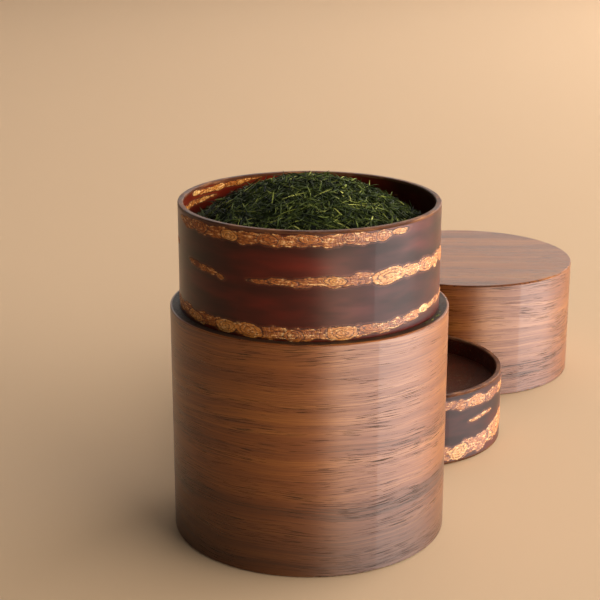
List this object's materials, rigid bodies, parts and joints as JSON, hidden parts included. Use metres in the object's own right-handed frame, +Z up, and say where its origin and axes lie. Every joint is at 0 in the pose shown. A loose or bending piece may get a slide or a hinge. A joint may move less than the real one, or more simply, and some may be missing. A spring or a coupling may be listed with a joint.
{
  "type": "lidded tea caddy",
  "caption": "Round tea caddy with a walnut-veneered wall, a bark-clad sleeve heaped with leaf tea, and its inner and outer lids standing beside it.",
  "frame": {"origin": "centre of the body's base, on the surface that it stands on", "axes": "+Z up along the body's axis; +Y away from the viewer and +X to the viewer's right, with both lids standing behind on the right"},
  "size_m": [0.1395, 0.2215, 0.1042],
  "materials": {
    "walnut_veneer": "satin oiled walnut with a horizontal grain",
    "core_wood": "plain wound wood",
    "stained_edge": "dark stained edge, satin",
    "cherry_bark": "polished cherry bark with rough pale lenticel bands",
    "leaf_tea": "dry rolled green leaves"
  },
  "bodies": {
    "caddy": {"base_facing": "walnut_veneer", "base_board": "core_wood", "floor_bark": "cherry_bark", "body_core": "core_wood", "body_veneer": "walnut_veneer", "shoulder_ring": "stained_edge", "sleeve_core": "core_wood", "sleeve_bark": "cherry_bark", "sleeve_lining": "cherry_bark", "sleeve_rim": "cherry_bark", "tea_leaves": "leaf_tea"},
    "outer_lid": {"lid_core": "core_wood", "lid_veneer": "walnut_veneer", "lid_rim": "stained_edge", "lid_lining": "cherry_bark", "lid_board": "core_wood", "lid_top_veneer": "walnut_veneer", "lid_ceiling_bark": "cherry_bark"},
    "inner_lid": {"inner_lid_core": "core_wood", "inner_lid_bark": "cherry_bark", "inner_lid_rim": "cherry_bark", "inner_lid_foot": "cherry_bark", "inner_lid_dish_lining": "cherry_bark", "inner_lid_skirt_lining": "cherry_bark", "inner_lid_board": "core_wood", "inner_lid_top_bark": "cherry_bark", "inner_lid_under_bark": "cherry_bark", "inner_lid_knob": "walnut_veneer"}
  },
  "joints": [
    {"name": "outer_lid_lift", "type": "slide", "parent": "caddy", "child": "outer_lid", "axis": [0, 0, 1], "range_m": [0, 0.12]},
    {"name": "inner_lid_lift", "type": "slide", "parent": "caddy", "child": "inner_lid", "axis": [0, 0, 1], "range_m": [0, 0.1]}
  ]
}
